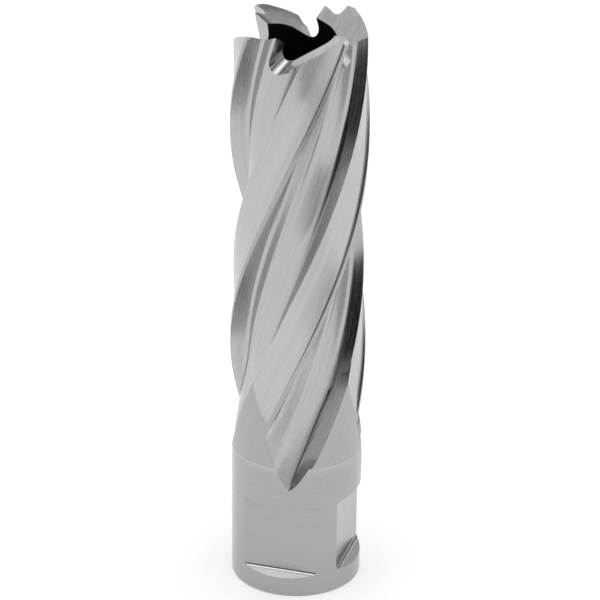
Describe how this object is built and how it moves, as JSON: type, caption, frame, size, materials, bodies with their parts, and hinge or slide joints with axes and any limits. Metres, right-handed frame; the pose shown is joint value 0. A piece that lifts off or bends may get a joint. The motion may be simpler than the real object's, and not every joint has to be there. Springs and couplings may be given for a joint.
{
  "type": "annular cutter",
  "caption": "One-piece hole cutter: flatted shank, helical fluted body with a slug bore, and ground cutting teeth round its open end.",
  "frame": {"origin": "centre of the flat end of the shank, which the cutter stands on", "axes": "+Z along the cutter's axis from the shank end to the teeth, -Y out of the first shank flat, +X out of the second shank flat"},
  "size_m": [0.0196, 0.0196, 0.0858],
  "materials": {
    "ground_steel": "ground high-speed steel, satin grey, with fine grinding lines along the flutes and round the shank"
  },
  "bodies": {
    "root": {"cutter_body": "ground_steel"}
  },
  "joints": []
}
